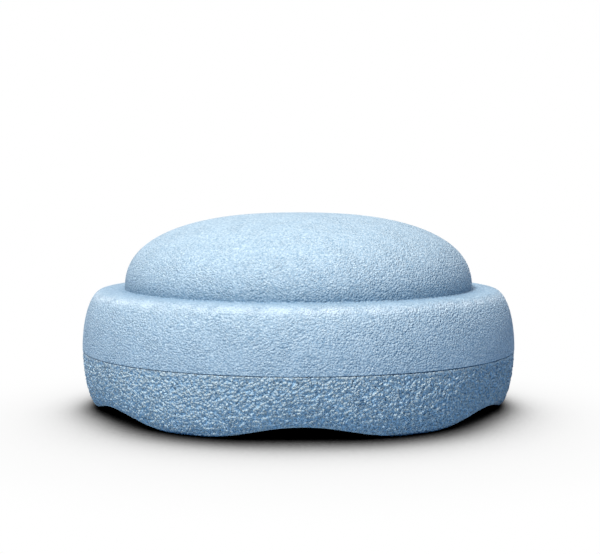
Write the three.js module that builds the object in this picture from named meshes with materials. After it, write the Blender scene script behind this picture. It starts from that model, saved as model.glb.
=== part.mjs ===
// Children's balance stepping stone in rigid bead foam: a low dome on a broad ring with six feet.
// The dome of one stone goes up into the hollow of the next, so stones nest and stack.
// Millimetres, +Z up. The origin is on the floor, below the middle of the dome.

import * as THREE from 'three';

// Outer form, from the widest line inwards and from the floor upwards
const outerDiameter = 275;
const footDrawIn = 9.1;
const wallDrawIn = 13;
const ledgeWidth = 13.75;
const seamHeight = 36.3;
const wallHeight = 37.5;
const domeHeight = 48.2;
const creaseRounding = 1;

// Fullness of each curve: 2 is round, more is squarer and less is flatter
const domeFullness = 2.43;
const wallFullness = 2.03;
const footFullness = 1.8;
const hollowFullness = 2.2;
const mouthFullness = 2;

// Feet and the arches between them
const feet = 6;
const archHeight = 7.2;

// Hollow underside, which the next stone's dome goes into
const nestClearance = 2.25;
const mouthRounding = 5;
const roofThickness = 36;

// Seam: a tongue on the base ring stands in a groove of the upper stone
const tongueWidth = 8;
const tongueHeight = 8;
const tongueTaper = 0.8;
const tongueClearance = 0.3;
const seamBevel = 0.5;

// Facets
const facetsPerFoot = 16;
const domeSteps = 14;
const wallSteps = 8;
const footSteps = 6;
const hollowSteps = 11;
const mouthSteps = 3;
const sideSteps = 3;

// Sizes that follow
const quarter = Math.PI / 2;
const outerRadius = outerDiameter / 2;
const footRadius = outerRadius - footDrawIn;
const ledgeRadius = outerRadius - wallDrawIn;
const domeRadius = ledgeRadius - ledgeWidth;
const ledgeHeight = seamHeight + wallHeight;
const mouthRadius = domeRadius + nestClearance;
const hollowTop = ledgeHeight + domeHeight - roofThickness;
const hollowRise = hollowTop - mouthRounding;
const facetsRound = feet * facetsPerFoot;

// Angle on the hollow's curve where it crosses the seam, and the wall's middle at that height
const hollowSeamTurn = Math.asin(((seamHeight - mouthRounding) / hollowRise) ** (hollowFullness / 2));
const hollowSeamRadius = mouthRadius * Math.cos(hollowSeamTurn) ** (2 / hollowFullness);
const tongueRadius = (hollowSeamRadius + outerRadius) / 2;

const fineFoam = new THREE.MeshStandardMaterial({ color: 0xa9c8e2, roughness: 0.75, metalness: 0 });
const gripFoam = new THREE.MeshStandardMaterial({ color: 0x8fb2d0, roughness: 0.85, metalness: 0 });

// Points of a superellipse quarter. The turn runs from 0, where it is `run` out and level with `base`,
// to a right angle, where it is `rise` above `base` and back at `inner`.
function bulge(inner, base, run, rise, fullness, steps, from, to) {
  return Array.from({ length: steps + 1 }, (_, i) => {
    const turn = THREE.MathUtils.lerp(from, to, i / steps);
    const out = Math.max(Math.cos(turn), 0) ** (2 / fullness);
    const up = Math.max(Math.sin(turn), 0) ** (2 / fullness);
    return new THREE.Vector2(inner + run * out, base + rise * up);
  });
}

// Section of the tongue, or of its groove when `gap` is the clearance, from its outer foot to its inner
function tongueSection(gap) {
  const half = tongueWidth / 2 + gap;
  const tip = half - tongueTaper;
  const top = seamHeight + tongueHeight + gap;
  return [
    new THREE.Vector2(tongueRadius + half, seamHeight),
    new THREE.Vector2(tongueRadius + tip, top),
    new THREE.Vector2(tongueRadius - tip, top),
    new THREE.Vector2(tongueRadius - half, seamHeight),
  ];
}

// Closed profile turned round the upright axis
function turned(profile) {
  const geometry = new THREE.LatheGeometry(profile, facetsRound);
  geometry.rotateX(quarter);
  return geometry;
}

// Dome, ledge, outer wall above the seam, groove, and the hollow's roof
function upperStone() {
  const dome = bulge(0, ledgeHeight, domeRadius, domeHeight, domeFullness, domeSteps, 0, quarter);
  const wall = bulge(ledgeRadius, seamHeight, wallDrawIn, wallHeight, wallFullness, wallSteps, 0, quarter);
  const roof = bulge(0, mouthRounding, mouthRadius, hollowRise, hollowFullness, hollowSteps,
    hollowSeamTurn, quarter);
  dome[0].set(domeRadius, ledgeHeight + creaseRounding);
  wall[0].set(outerRadius, seamHeight + seamBevel);
  return turned([
    ...roof.reverse(),
    ...tongueSection(tongueClearance).reverse(),
    new THREE.Vector2(outerRadius - seamBevel, seamHeight),
    ...wall,
    new THREE.Vector2(domeRadius + creaseRounding, ledgeHeight),
    ...dome,
  ]);
}

// How far the underside stands off the floor at an angle round the axis. A foot's middle is at zero, and
// its flat is one facet wide to each side of that.
function archLift(angle) {
  const halfPitch = Math.PI / feet;
  const halfPatch = 2 * Math.PI / facetsRound;
  const offCentre = Math.abs(THREE.MathUtils.euclideanModulo(angle + halfPitch, 2 * halfPitch) - halfPitch);
  const share = THREE.MathUtils.clamp((offCentre - halfPatch) / (halfPitch - halfPatch), 0, 1);
  return archHeight * (1 - Math.cos(Math.PI * share)) / 2;
}

// Ring below the seam. It is turned flat-footed, and then its underside is raised between the feet:
// all of the lift at the floor, fading to none at the seam.
function gripBase() {
  const wall = bulge(footRadius, seamHeight, footDrawIn, -seamHeight, footFullness, footSteps, 0, quarter);
  const mouth = bulge(mouthRadius + mouthRounding, mouthRounding, -mouthRounding, -mouthRounding,
    mouthFullness, mouthSteps, 0, quarter);
  const side = bulge(0, mouthRounding, mouthRadius, hollowRise, hollowFullness, sideSteps,
    0, hollowSeamTurn);
  wall[0].set(outerRadius, seamHeight - seamBevel);
  const section = [
    ...wall.reverse(),
    new THREE.Vector2(outerRadius - seamBevel, seamHeight),
    ...tongueSection(0),
    ...side.slice(1).reverse(),
    ...mouth,
  ];
  const geometry = turned([...section, section[0].clone()]);
  const points = geometry.getAttribute('position');
  for (let i = 0; i < points.count; i++) {
    const height = points.getZ(i);
    if (height < seamHeight) {
      const lift = archLift(Math.atan2(points.getY(i), points.getX(i)));
      points.setZ(i, lift + height * (seamHeight - lift) / seamHeight);
    }
  }
  geometry.computeVertexNormals();
  return geometry;
}

function part(name, geometry, material) {
  const mesh = new THREE.Mesh(geometry, material);
  mesh.name = name;
  return mesh;
}

const stone = new THREE.Group();
stone.name = 'stepping_stone';
stone.add(part('upper_stone', upperStone(), fineFoam));
stone.add(part('grip_base', gripBase(), gripFoam));

export default stone;
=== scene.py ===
"""Children's balance stepping stone, moulded in pale blue bead foam, on a white studio floor.

Metres, +Z up, in the frame of the solids: the origin is on the floor, below the middle of the dome.
"""
import math

import bpy
import numpy as np
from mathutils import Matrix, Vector, noise


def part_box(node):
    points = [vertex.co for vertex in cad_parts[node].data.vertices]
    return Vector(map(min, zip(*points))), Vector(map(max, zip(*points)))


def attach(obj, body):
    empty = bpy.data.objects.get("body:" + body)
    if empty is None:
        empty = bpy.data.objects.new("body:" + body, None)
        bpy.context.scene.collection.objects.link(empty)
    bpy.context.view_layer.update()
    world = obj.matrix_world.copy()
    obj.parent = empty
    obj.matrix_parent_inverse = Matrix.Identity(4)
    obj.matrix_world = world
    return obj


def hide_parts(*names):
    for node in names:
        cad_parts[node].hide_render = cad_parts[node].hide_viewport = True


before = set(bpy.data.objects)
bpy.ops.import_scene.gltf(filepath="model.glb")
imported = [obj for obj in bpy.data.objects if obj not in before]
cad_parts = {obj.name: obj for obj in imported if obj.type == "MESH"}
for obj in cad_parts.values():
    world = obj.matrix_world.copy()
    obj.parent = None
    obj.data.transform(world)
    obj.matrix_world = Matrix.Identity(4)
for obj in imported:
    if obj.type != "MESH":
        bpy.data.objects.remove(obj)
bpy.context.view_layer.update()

MM = 0.001

# Sizes that the solids give
RING_LOW, RING_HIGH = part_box("grip_base")
STONE_LOW, STONE_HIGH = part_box("upper_stone")
FLOOR_HEIGHT = RING_LOW.z
OUTER_RADIUS = RING_HIGH.x
SEAM_HEIGHT = STONE_LOW.z
TOP_HEIGHT = STONE_HIGH.z

# The rest of the form, as the solids have it. Fullness is 2 for a round curve and more for a squarer one.
FOOT_DRAW_IN = 9.1 * MM
WALL_DRAW_IN = 13 * MM
LEDGE_WIDTH = 13.75 * MM
WALL_HEIGHT = 37.5 * MM
DOME_FULLNESS = 2.43
WALL_FULLNESS = 2.03
FOOT_FULLNESS = 1.8
HOLLOW_FULLNESS = 2.2
MOUTH_FULLNESS = 2.0
FEET = 6
ARCH_HEIGHT = 7.2 * MM
FOOT_HALF_ANGLE = math.radians(3.75)
NEST_CLEARANCE = 2.25 * MM
MOUTH_ROUNDING = 5 * MM
ROOF_THICKNESS = 36 * MM

FOOT_RADIUS = OUTER_RADIUS - FOOT_DRAW_IN
LEDGE_RADIUS = OUTER_RADIUS - WALL_DRAW_IN
DOME_RADIUS = LEDGE_RADIUS - LEDGE_WIDTH
LEDGE_HEIGHT = SEAM_HEIGHT + WALL_HEIGHT
MOUTH_RADIUS = DOME_RADIUS + NEST_CLEARANCE
HOLLOW_RISE = TOP_HEIGHT - ROOF_THICKNESS - MOUTH_ROUNDING

# Small edges of the moulding. The lip is the ring's rolled upper edge, a hair inside the stone's.
CREASE_ROUND = 0.7 * MM
SEAM_GAP = 0.15 * MM
SEAM_DEPTH = 1.6 * MM
SEAM_ROUND = 0.35 * MM
SEAM_FLAT = SEAM_ROUND * 2
LIP_IN = 0.2 * MM
LIP_ROUND = 0.8 * MM
LIP_FLAT = LIP_ROUND * 1.5

# Relief of the grip band: a bent noise for the ridges, with a finer one on it. The lip's height below the
# seam is plain, and the relief sets in over as much again. Above the floor it sets in over the edge's
# height. The draw fixes the random offsets that bend the noise, which would follow the clock without it.
RELIEF_DEPTH = 1.2 * MM
RELIEF_GRAIN = 1.5 * MM
RELIEF_BEND_SHARE = 0.6
RELIEF_BEND = 0.5 * MM
RELIEF_FINE_GRAIN = 0.9 * MM
RELIEF_FINE_SHARE = 0.45
RELIEF_MIDDLE = 0.52
RELIEF_SWING = 0.85
RELIEF_LIP = 1.4 * MM
RELIEF_EDGE = 1.4 * MM
RELIEF_SEED = Vector((3.1, 7.7, 1.3))
RELIEF_DRAW = 1

# Mesh steps
CURVE_STEPS = 240
ROUND_STEPS = 4
STONE_COLUMNS = 384
STONE_STEP = 2.0 * MM
WALL_STEP = 1.0 * MM
BAND_COLUMNS = 1240
BAND_STEP = 0.69 * MM
INSIDE_STEP = 6.0 * MM
UNDER_STEP = 2.0 * MM
SAME_POINT = 1e-6
SHORTEST_RUN = 1e-9

# Foam of both finishes. The shine is low, so that the dark tones stay blue.
FOAM_IOR = 1.49
SHINE = 0.1

# Fine finish: its grain, the patches where that is shallower or deeper, its specks and its beads
FINE_ROUGHNESS = 0.6
FINE_GRAIN = 1.15 * MM
FINE_DEPTH = 0.68 * MM
PATCH = 13 * MM
PATCH_DETAIL = 2.0
PATCH_SPAN = (0.35, 0.65)
PATCH_DEPTH_SHARES = (0.75, 1.25)
SPECK = 1.55 * MM
SPECK_DETAIL = 1.0
SPECK_FALL = 1.0
SPECK_SPAN = (0.25, 0.75)
SPECK_DARK = "#9ab9cd"
SPECK_PALE = "#ddeff6"
BEAD = 4.2 * MM
BEAD_SHARE = 0.04

# Painted shade in the nooks of the fine finish, such as the dome's foot: from how far off they are
# darkened, and to what tone
NOOK_SHADES = ((35 * MM, "#e6ebf0"), (14 * MM, "#d3dee6"))
NOOK_SPAN = (0.4, 0.95)
NOOK_SAMPLES = 16

# Painted shade on the flat of the ledge, which makes it a shade darker
LEDGE_FADE = 2.0 * MM
LEDGE_SHADE = "#ecf1f6"

# Painted highlight on the ledge's rounded rim, in patches
RIM_IN = 4.8 * MM
RIM_DOWN = 2.6 * MM
RIM_REACH = 2.6 * MM
RIM_HIGHLIGHT = "#e2f2fa"
RIM_PATCH = 7 * MM
RIM_DETAIL = 3.0
RIM_SPAN = (0.4, 0.62)
RIM_HIGHLIGHT_SHARES = (0.15, 0.85)

# Grip finish, with painted shade in its pits, painted highlight on its ridges, and the painted shade
# that darkens its lower edge
GRIP_ROUGHNESS = 0.55
GRIP_GRAIN = 1.57 * MM
GRIP_DEPTH = 2.7 * MM
GRIP_SPAN = (0.65, 0.0)
GRIP_RIDGE_SHARE = -0.35
GRIP_PIT_SHADE = "#bce3fb"
GRIP_RIDGE_HIGHLIGHT = "#f1ffff"
EDGE_REACH = 2.5 * MM
EDGE_SHADE = "#6a93b3"
EDGE_SPAN = (0.3, 0.65)

# Floor, with a painted shadow. Its tones go from black to white with the share of the leaning sky that
# is open above it.
FLOOR_SIZE = 8.0
FLOOR_BOUNCE = "#97b0c8"
SKY_LEAN = math.radians(30)
SKY_REACH = 180 * MM
SKY_SAMPLES = 24
FLOOR_SHADOW_TONES = (
    (0.3, 0.0), (0.4, 0.035), (0.5, 0.2), (0.55, 0.365), (0.6, 0.565),
    (0.65, 0.714), (0.7, 0.83), (0.8, 0.945), (0.95, 1.0),
)

# Light: a bluish surround, a small key to the left, a wide one overhead and a low strip behind
WHITE = (1, 1, 1, 1)
SURROUND = (0.02, 0.05, 0.13, 1)
KEY_POWER = 18.2
KEY_SIZE = 0.3
KEY_PLACE = Vector((-0.435, -0.932, 1.286))
TOP_POWER = 14.1
TOP_SIZE = 1.0
TOP_PLACE = Vector((-0.076, -0.209, 1.644))
BACK_POWER = 7.0
BACK_SIZE = 0.8
BACK_TALL = 0.06
BACK_PLACE = Vector((0.2, 1.6, 0.04))

# Picture: its width, the column that the dome's axis falls on, and the camera that the outline gives
IMAGE_WIDTH = 600
AXIS_COLUMN = 298.5
CAMERA_DISTANCE = 818.1 * MM
CAMERA_HEIGHT = 139.1 * MM
CAMERA_PITCH = math.radians(4.091)
CAMERA_TURN = math.radians(1.04)
FOCAL_PIXELS = 1274.7
SENSOR_WIDTH = 36.0


# Colour and nodes

def linear(code, alpha=1.0):
    """An sRGB hex colour as the linear values that shaders take."""
    parts = [int(code[i:i + 2], 16) / 255 for i in (1, 3, 5)]
    return tuple(c / 12.92 if c <= 0.04045 else ((c + 0.055) / 1.055) ** 2.4 for c in parts) + (alpha,)


def add(tree, kind, settings=None, **links):
    """Adds a node of that kind, sets its properties, and fills each input with a value or an output. An
    input goes by its name, or by i and its number."""
    node = tree.nodes.new("ShaderNode" + kind)
    for key, value in (settings or {}).items():
        setattr(node, key, value)
    for key, value in links.items():
        numbered = key[0] == "i" and key[1:].isdigit()
        socket = node.inputs[int(key[1:]) if numbered else key.replace("_", " ")]
        if isinstance(value, bpy.types.NodeSocket):
            tree.links.new(value, socket)
        else:
            socket.default_value = value
    return node


def new_material(name):
    material = bpy.data.materials.new(name)
    material.use_nodes = True
    material.node_tree.nodes.clear()
    return material, material.node_tree


# Shape

def quarter(inner, base, run, rise, fullness, start=0.0, end=math.pi / 2):
    """(radius, height) points of a superellipse quarter, from level with its base to its crown."""
    turn = np.linspace(start, end, CURVE_STEPS + 1)
    out = np.cos(turn).clip(0) ** (2 / fullness)
    up = np.sin(turn).clip(0) ** (2 / fullness)
    return np.column_stack([inner + run * out, base + rise * up])


def evenly(points, step):
    """The same line with its points that step apart, or a little less."""
    length = np.concatenate([[0], np.cumsum(np.hypot(*np.diff(points, axis=0).T))])
    count = max(int(math.ceil(length[-1] / step)), 1)
    marks = np.linspace(0, length[-1], count + 1)
    return np.column_stack([np.interp(marks, length, points[:, i]) for i in range(2)])


def join(*stretches):
    """One profile from several, with a shared point kept once."""
    line = np.concatenate([np.atleast_2d(np.array(s, float)) for s in stretches])
    keep = np.concatenate([[True], np.hypot(*np.diff(line, axis=0).T) > SAME_POINT])
    return line[keep]


def fillet(corner, before, after, radius):
    """An arc between two straight runs that meet square at a corner."""
    a = np.array(before, float) * radius
    b = np.array(after, float) * radius
    turn = np.linspace(0, math.pi / 2, ROUND_STEPS + 1)[:, None]
    return np.array(corner) + a * (1 - np.sin(turn)) + b * (1 - np.cos(turn))


def turned_grid(profile, columns):
    """Points of a profile turned round the upright axis, by row and column."""
    angle = np.arange(columns) * 2 * math.pi / columns
    radius, height = profile[:, 0][:, None], profile[:, 1][:, None]
    return np.stack([radius * np.cos(angle), radius * np.sin(angle), height + 0 * angle], axis=-1)


def grid_mesh(name, grid, closed):
    """A mesh of quads from a grid of turned points. A closed profile's last row meets its first. An open
    one's ends lie on the axis, and each becomes one point."""
    rows, columns = grid.shape[:2]
    points = grid.reshape(-1, 3)
    first = np.arange(columns)
    second = (first + 1) % columns
    faces = []
    if closed:
        for row in range(rows):
            low, high = row * columns, (row + 1) % rows * columns
            faces.append(np.column_stack([low + first, low + second, high + second, high + first]))
        triangles = []
    else:
        points = np.concatenate([points[:1], points[columns:-columns], points[-1:]])
        last = len(points) - 1
        for row in range(rows - 3):
            low, high = 1 + row * columns, 1 + (row + 1) * columns
            faces.append(np.column_stack([low + first, low + second, high + second, high + first]))
        end = 1 + (rows - 3) * columns
        triangles = np.column_stack([np.zeros(columns, int), 1 + second, 1 + first]).tolist()
        triangles += np.column_stack([end + first, end + second, np.full(columns, last)]).tolist()
    mesh = bpy.data.meshes.new(name)
    mesh.from_pydata(points.tolist(), [], np.concatenate(faces).tolist() + triangles)
    mesh.update()
    mesh.validate()
    return mesh


def mark(mesh, name, values):
    """Stores one value for each point of the mesh, which a material reads by that name."""
    mesh.attributes.new(name, "FLOAT", "POINT").data.foreach_set("value", values)


def place(name, mesh, material, node):
    """A piece that stands for a solid: it rides on the stone's one body and takes that solid's finish."""
    mesh.shade_smooth()
    piece = bpy.data.objects.new(name, mesh)
    bpy.context.collection.objects.link(piece)
    mesh.materials.append(material)
    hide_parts(node)
    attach(piece, "root")
    return piece


def seam_turn():
    """The turn at which the hollow's curve reaches the height of the seam."""
    return math.asin(((SEAM_HEIGHT - MOUTH_ROUNDING) / HOLLOW_RISE) ** (HOLLOW_FULLNESS / 2))


def upper_profile():
    """From the middle of the hollow's roof, out along the seam, and up to the top of the dome."""
    roof = quarter(0, MOUTH_ROUNDING, MOUTH_RADIUS, HOLLOW_RISE, HOLLOW_FULLNESS, seam_turn())[::-1]
    wall = quarter(LEDGE_RADIUS, SEAM_HEIGHT, WALL_DRAW_IN, WALL_HEIGHT, WALL_FULLNESS)
    dome = quarter(0, LEDGE_HEIGHT, DOME_RADIUS, TOP_HEIGHT - LEDGE_HEIGHT, DOME_FULLNESS)
    lip = SEAM_HEIGHT + SEAM_GAP / 2
    inner = OUTER_RADIUS - SEAM_DEPTH
    wall = wall[wall[:, 1] > lip + SEAM_ROUND]
    dome = dome[dome[:, 1] > LEDGE_HEIGHT + CREASE_ROUND]
    crease = (DOME_RADIUS, LEDGE_HEIGHT)
    return join(
        evenly(roof, INSIDE_STEP),
        evenly(np.array([roof[-1], (inner, SEAM_HEIGHT)]), INSIDE_STEP),
        (inner, lip),
        (OUTER_RADIUS - SEAM_FLAT, lip),
        fillet((OUTER_RADIUS, lip), (-1, 0), (0, 1), SEAM_ROUND),
        evenly(wall, WALL_STEP),
        evenly(np.array([wall[-1], (DOME_RADIUS + CREASE_ROUND, LEDGE_HEIGHT)]), STONE_STEP),
        fillet(crease, (1, 0), (0, 1), CREASE_ROUND),
        evenly(dome, STONE_STEP),
    )


def upper_stone(material):
    """The dome, the ledge and the wall above the seam, with the roof of the hollow below them."""
    profile = upper_profile()
    mesh = grid_mesh("fine_foam_stone", turned_grid(profile, STONE_COLUMNS), closed=False)
    # Masks of the painted highlight on the ledge's rim and the painted shade on its flat
    rim_radius, rim_height = LEDGE_RADIUS + RIM_IN, LEDGE_HEIGHT - RIM_DOWN
    off_rim = np.hypot(profile[:, 0] - rim_radius, profile[:, 1] - rim_height)
    rim = np.exp(-(off_rim / RIM_REACH) ** 2)
    ledge = np.exp(-((profile[:, 1] - LEDGE_HEIGHT) / LEDGE_FADE) ** 2)
    for name, row in (("rim", rim), ("ledge", ledge)):
        mark(mesh, name, np.concatenate([row[:1], np.repeat(row[1:-1], STONE_COLUMNS), row[-1:]]))
    return place("fine_foam_stone", mesh, material, "upper_stone")


def arch_lift(angle):
    """How far the underside stands off the floor at each angle. A foot's middle lies at zero."""
    half_pitch = math.pi / FEET
    off_centre = np.abs((angle + half_pitch) % (2 * half_pitch) - half_pitch)
    share = ((off_centre - FOOT_HALF_ANGLE) / (half_pitch - FOOT_HALF_ANGLE)).clip(0, 1)
    return ARCH_HEIGHT * (1 - np.cos(math.pi * share)) / 2


def outward(profile):
    """The profile's unit normals, on its right-hand side, for a profile that closes on itself."""
    along = np.roll(profile, -1, axis=0) - np.roll(profile, 1, axis=0)
    along /= np.maximum(np.hypot(*along.T), SHORTEST_RUN)[:, None]
    return np.column_stack([along[:, 1], -along[:, 0]])


def grain(point):
    """Height of the grip relief at a point, from 0 in its pits to 1 on its ridges."""
    at = point / RELIEF_GRAIN + RELIEF_SEED
    bend = noise.noise_vector(at * RELIEF_BEND_SHARE) * (RELIEF_BEND / RELIEF_GRAIN)
    fine = noise.noise(point / RELIEF_FINE_GRAIN - RELIEF_SEED)
    height = noise.noise(at + bend) + RELIEF_FINE_SHARE * fine
    return min(max(RELIEF_MIDDLE + RELIEF_SWING * height, 0.0), 1.0)


def base_profile():
    """Round the ring's section: up the outer wall, in along the seam, down the hollow and out along the
    foot. Also says how far the relief reaches at each point."""
    wall = quarter(FOOT_RADIUS, SEAM_HEIGHT, FOOT_DRAW_IN, -SEAM_HEIGHT, FOOT_FULLNESS)[::-1]
    mouth = quarter(MOUTH_RADIUS + MOUTH_ROUNDING, MOUTH_ROUNDING, -MOUTH_ROUNDING, -MOUTH_ROUNDING,
                    MOUTH_FULLNESS)
    side = quarter(0, MOUTH_ROUNDING, MOUTH_RADIUS, HOLLOW_RISE, HOLLOW_FULLNESS, 0, seam_turn())[::-1]
    lip = SEAM_HEIGHT - SEAM_GAP / 2
    inner = OUTER_RADIUS - SEAM_DEPTH
    band = evenly(wall[wall[:, 1] < lip - LIP_ROUND], BAND_STEP)
    plain = join(
        fillet((OUTER_RADIUS - LIP_IN, lip), (0, -1), (-1, 0), LIP_ROUND),
        (OUTER_RADIUS - LIP_IN - LIP_FLAT, lip),
        (inner, lip),
        (inner, SEAM_HEIGHT),
        evenly(side, INSIDE_STEP),
    )
    under = evenly(join(mouth, (FOOT_RADIUS, FLOOR_HEIGHT)), UNDER_STEP)
    profile = join(band, plain, under[:-1])
    below = ((lip - profile[:, 1]) / RELIEF_LIP - 1).clip(0, 1)
    above = (profile[:, 1] / RELIEF_EDGE).clip(0, 1)
    reach = below * above
    reach[len(band):] = 0
    profile[:len(band), 0] -= (1 - below[:len(band)]) * LIP_IN
    return profile, reach


def grip_base(material):
    """The ring below the seam, with its relief sunk in and its underside raised between the feet."""
    profile, reach = base_profile()
    grid = turned_grid(profile, BAND_COLUMNS)
    normal = outward(profile)
    noise.seed_set(RELIEF_DRAW)
    relief = np.ones(grid.shape[:2])
    for row in np.nonzero(reach)[0]:
        relief[row] = [grain(Vector(p)) for p in grid[row]]
    depth = (1 - relief) * reach[:, None] * RELIEF_DEPTH
    angle = np.arctan2(grid[..., 1], grid[..., 0])
    grid[..., 0] -= depth * normal[:, 0][:, None] * np.cos(angle)
    grid[..., 1] -= depth * normal[:, 0][:, None] * np.sin(angle)
    grid[..., 2] -= depth * normal[:, 1][:, None]
    lift = arch_lift(angle)
    height = grid[..., 2]
    raised = lift + height * (SEAM_HEIGHT - lift) / SEAM_HEIGHT
    grid[..., 2] = np.where(height < SEAM_HEIGHT, raised, height)
    mesh = grid_mesh("grip_foam_ring", grid, closed=True)
    mark(mesh, "relief", (relief * reach[:, None] + (1 - reach[:, None])).ravel())
    return place("grip_foam_ring", mesh, material, "grip_base")


# Materials

def paint_shade(tree, skin, reach, span, shade_tone):
    """Painted shade: the skin's colour, multiplied by a dark tone where foam or floor within that reach
    closes it in.
    """
    open_sky = add(tree, "AmbientOcclusion", {"samples": NOOK_SAMPLES}, Distance=reach).outputs["AO"]
    share = add(tree, "MapRange", Value=open_sky, From_Min=span[0], From_Max=span[1]).outputs[0]
    tone = add(tree, "Mix", {"data_type": "RGBA"}, i0=share, i6=linear(shade_tone), i7=WHITE).outputs[2]
    return add(tree, "Mix", {"data_type": "RGBA", "blend_type": "MULTIPLY"}, i0=1.0, i6=skin,
               i7=tone).outputs[2]


def fine_foam():
    """Expanded polypropylene, steam-moulded against a fine-grained tool. The tool's grain gives the skin a
    dull, felt-like sparkle, deeper in some patches than in others. The fused beads, 4 mm across, show
    faintly below it. Painted shade darkens the nooks, such as the dome's foot, and the flat of the ledge,
    and a painted highlight lies in patches on the ledge's rim. The real grain is too fine for a picture of
    this size, so the grain and its specks are drawn as coarse as they need to be to show."""
    material, tree = new_material("fine_grained_bead_foam")
    place_at = add(tree, "TexCoord").outputs["Object"]
    grain_height = add(tree, "TexVoronoi", Vector=place_at, Scale=1 / FINE_GRAIN).outputs["Distance"]
    speck = add(tree, "TexNoise", Vector=place_at, Scale=1 / SPECK, Detail=SPECK_DETAIL,
                Roughness=SPECK_FALL).outputs["Fac"]
    bead = add(tree, "TexVoronoi", Vector=place_at, Scale=1 / BEAD).outputs["Color"]
    bead_tone = add(tree, "SeparateColor", i0=bead).outputs[0]
    shade = add(tree, "MapRange", Value=speck, From_Min=SPECK_SPAN[0], From_Max=SPECK_SPAN[1]).outputs[0]
    skin = add(tree, "Mix", {"data_type": "RGBA"}, i0=shade, i6=linear(SPECK_DARK),
               i7=linear(SPECK_PALE)).outputs[2]
    skin = add(tree, "Mix", {"data_type": "RGBA", "blend_type": "MULTIPLY"}, i0=BEAD_SHARE, i6=skin,
               i7=bead_tone).outputs[2]
    # Painted shade in the nooks, such as the dome's foot
    for reach, shade_tone in NOOK_SHADES:
        skin = paint_shade(tree, skin, reach, NOOK_SPAN, shade_tone)
    # Painted shade on the flat of the ledge
    ledge = add(tree, "Attribute", {"attribute_name": "ledge"}).outputs["Fac"]
    skin = add(tree, "Mix", {"data_type": "RGBA", "blend_type": "MULTIPLY"}, i0=ledge, i6=skin,
               i7=linear(LEDGE_SHADE)).outputs[2]
    # Painted highlight on the ledge's rim, in patches
    rim = add(tree, "Attribute", {"attribute_name": "rim"}).outputs["Fac"]
    highlight_patches = add(tree, "TexNoise", Vector=place_at, Scale=1 / RIM_PATCH, Detail=RIM_DETAIL).outputs["Fac"]
    highlight_patches = add(tree, "MapRange", Value=highlight_patches, From_Min=RIM_SPAN[0], From_Max=RIM_SPAN[1],
               To_Min=RIM_HIGHLIGHT_SHARES[0], To_Max=RIM_HIGHLIGHT_SHARES[1]).outputs[0]
    rim_highlight = add(tree, "Math", {"operation": "MULTIPLY"}, i0=rim, i1=highlight_patches).outputs[0]
    skin = add(tree, "Mix", {"data_type": "RGBA"}, i0=rim_highlight, i6=skin, i7=linear(RIM_HIGHLIGHT)).outputs[2]
    patch = add(tree, "TexNoise", Vector=place_at, Scale=1 / PATCH, Detail=PATCH_DETAIL).outputs["Fac"]
    shallow, deep = (FINE_DEPTH * share for share in PATCH_DEPTH_SHARES)
    depth = add(tree, "MapRange", Value=patch, From_Min=PATCH_SPAN[0], From_Max=PATCH_SPAN[1],
                To_Min=shallow, To_Max=deep).outputs[0]
    rough = add(tree, "Bump", {"invert": True}, Height=grain_height, Strength=1.0,
                Distance=depth).outputs[0]
    shader = add(tree, "BsdfPrincipled", Base_Color=skin, Roughness=FINE_ROUGHNESS, IOR=FOAM_IOR,
                 Specular_IOR_Level=SHINE, Normal=rough).outputs[0]
    add(tree, "OutputMaterial", Surface=shader)
    return material


def grip_foam():
    """The same foam against a coarsely etched tool. Its colour carries painted shade in its pits and a
    painted highlight on its ridges, and painted shade darkens its lower edge. The ridges are in the mesh.
    The pores among them are bump, drawn wider and deeper than real ones so that the band keeps its
    contrast at the size of the picture."""
    material, tree = new_material("grip_grained_bead_foam")
    place_at = add(tree, "TexCoord").outputs["Object"]
    relief = add(tree, "Attribute", {"attribute_name": "relief"}).outputs["Fac"]
    pores = add(tree, "TexVoronoi", Vector=place_at, Scale=1 / GRIP_GRAIN).outputs["Distance"]
    height = add(tree, "Math", {"operation": "MULTIPLY_ADD"}, i0=relief, i1=GRIP_RIDGE_SHARE,
                 i2=pores).outputs[0]
    # Painted shade in the pits and painted highlight on the ridges, by the height of relief and pores
    shade = add(tree, "MapRange", Value=height, From_Min=GRIP_SPAN[0], From_Max=GRIP_SPAN[1]).outputs[0]
    skin = add(tree, "Mix", {"data_type": "RGBA"}, i0=shade, i6=linear(GRIP_PIT_SHADE),
               i7=linear(GRIP_RIDGE_HIGHLIGHT)).outputs[2]
    # Painted shade on the lower edge and in the pits, where foam or floor closes them in
    skin = paint_shade(tree, skin, EDGE_REACH, EDGE_SPAN, EDGE_SHADE)
    rough = add(tree, "Bump", {"invert": True}, Height=pores, Strength=1.0, Distance=GRIP_DEPTH).outputs[0]
    shader = add(tree, "BsdfPrincipled", Base_Color=skin, Roughness=GRIP_ROUGHNESS, IOR=FOAM_IOR,
                 Specular_IOR_Level=SHINE, Normal=rough).outputs[0]
    add(tree, "OutputMaterial", Surface=shader)
    return material


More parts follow.
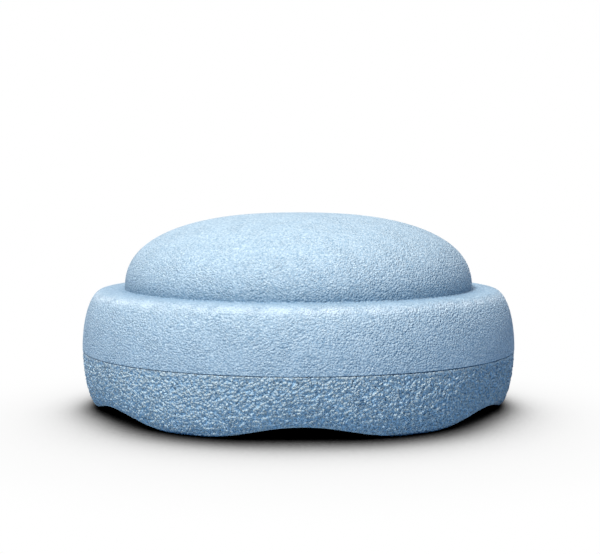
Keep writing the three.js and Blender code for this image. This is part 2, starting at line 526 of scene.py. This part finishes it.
def studio_floor():
    """Painted white floor. The camera sees it as white light with a painted shadow of the stone, darkened
    where the stone hides it from a pale sky that leans to the back. Other rays see a matt, bluish floor."""
    material, tree = new_material("white_studio_floor")
    path = add(tree, "LightPath").outputs
    lean = add(tree, "CombineXYZ", Y=math.sin(SKY_LEAN), Z=math.cos(SKY_LEAN)).outputs[0]
    # Painted shadow: how much of the leaning sky the stone leaves open sets the floor's tone
    open_sky = add(tree, "AmbientOcclusion", {"samples": SKY_SAMPLES}, Distance=SKY_REACH,
                   Normal=lean).outputs["AO"]
    tone = add(tree, "ValToRGB", Fac=open_sky)
    stops = tone.color_ramp.elements
    while len(stops) < len(FLOOR_SHADOW_TONES):
        stops.new(0.5)
    for stop, (at, level) in zip(stops, FLOOR_SHADOW_TONES):
        stop.position = at
        stop.color = (level, level, level, 1)
    white = add(tree, "Emission", Color=tone.outputs[0], Strength=1.0).outputs[0]
    matt = add(tree, "BsdfDiffuse", Color=linear(FLOOR_BOUNCE)).outputs[0]
    seen = add(tree, "Math", {"operation": "MAXIMUM"}, i0=path["Is Camera Ray"],
               i1=path["Is Glossy Ray"]).outputs[0]
    both = add(tree, "MixShader", i0=seen, i1=matt, i2=white).outputs[0]
    add(tree, "OutputMaterial", Surface=both)
    return material


# Setting

def floor():
    mesh = bpy.data.meshes.new("floor")
    half = FLOOR_SIZE / 2
    corners = [(-half, -half, 0), (half, -half, 0), (half, half, 0), (-half, half, 0)]
    mesh.from_pydata(corners, [], [(0, 1, 2, 3)])
    ground = bpy.data.objects.new("floor", mesh)
    bpy.context.collection.objects.link(ground)
    mesh.materials.append(studio_floor())


def sky():
    """A dim bluish surround, which camera, glossy and transmission rays see as white."""
    world = bpy.data.worlds.new("studio")
    bpy.context.scene.world = world
    world.use_nodes = True
    tree = world.node_tree
    tree.nodes.clear()
    path = add(tree, "LightPath").outputs
    seen = add(tree, "Math", {"operation": "MAXIMUM"}, i0=path["Is Camera Ray"],
               i1=path["Is Glossy Ray"]).outputs[0]
    seen = add(tree, "Math", {"operation": "MAXIMUM"}, i0=seen, i1=path["Is Transmission Ray"]).outputs[0]
    level = add(tree, "Mix", {"data_type": "RGBA"}, i0=seen, i6=SURROUND, i7=WHITE).outputs[2]
    white = add(tree, "Background", Color=level, Strength=1.0).outputs[0]
    add(tree, "OutputWorld", Surface=white)


def lamp(name, at, width, tall, power):
    """A soft box that faces the stone."""
    light = bpy.data.lights.new(name, "AREA")
    light.shape = "RECTANGLE"
    light.size = width
    light.size_y = tall
    light.energy = power
    box = bpy.data.objects.new(name, light)
    bpy.context.collection.objects.link(box)
    box.location = at
    box.rotation_euler = (Vector((0, 0, TOP_HEIGHT / 2)) - at).to_track_quat("-Z", "Y").to_euler()


def camera():
    data = bpy.data.cameras.new("camera")
    data.sensor_width = SENSOR_WIDTH
    data.lens = FOCAL_PIXELS * SENSOR_WIDTH / IMAGE_WIDTH
    data.shift_x = (IMAGE_WIDTH / 2 - AXIS_COLUMN) / IMAGE_WIDTH
    view = bpy.data.objects.new("camera", data)
    bpy.context.collection.objects.link(view)
    view.location = (-CAMERA_DISTANCE * math.sin(CAMERA_TURN), -CAMERA_DISTANCE * math.cos(CAMERA_TURN),
                     CAMERA_HEIGHT)
    view.rotation_euler = (math.pi / 2 - CAMERA_PITCH, 0, -CAMERA_TURN)
    bpy.context.scene.camera = view


upper_stone(fine_foam())
grip_base(grip_foam())
floor()
sky()
lamp("key", KEY_PLACE, KEY_SIZE, KEY_SIZE, KEY_POWER)
lamp("top", TOP_PLACE, TOP_SIZE, TOP_SIZE, TOP_POWER)
lamp("back", BACK_PLACE, BACK_SIZE, BACK_TALL, BACK_POWER)
camera()
bpy.context.scene.view_settings.view_transform = "Standard"
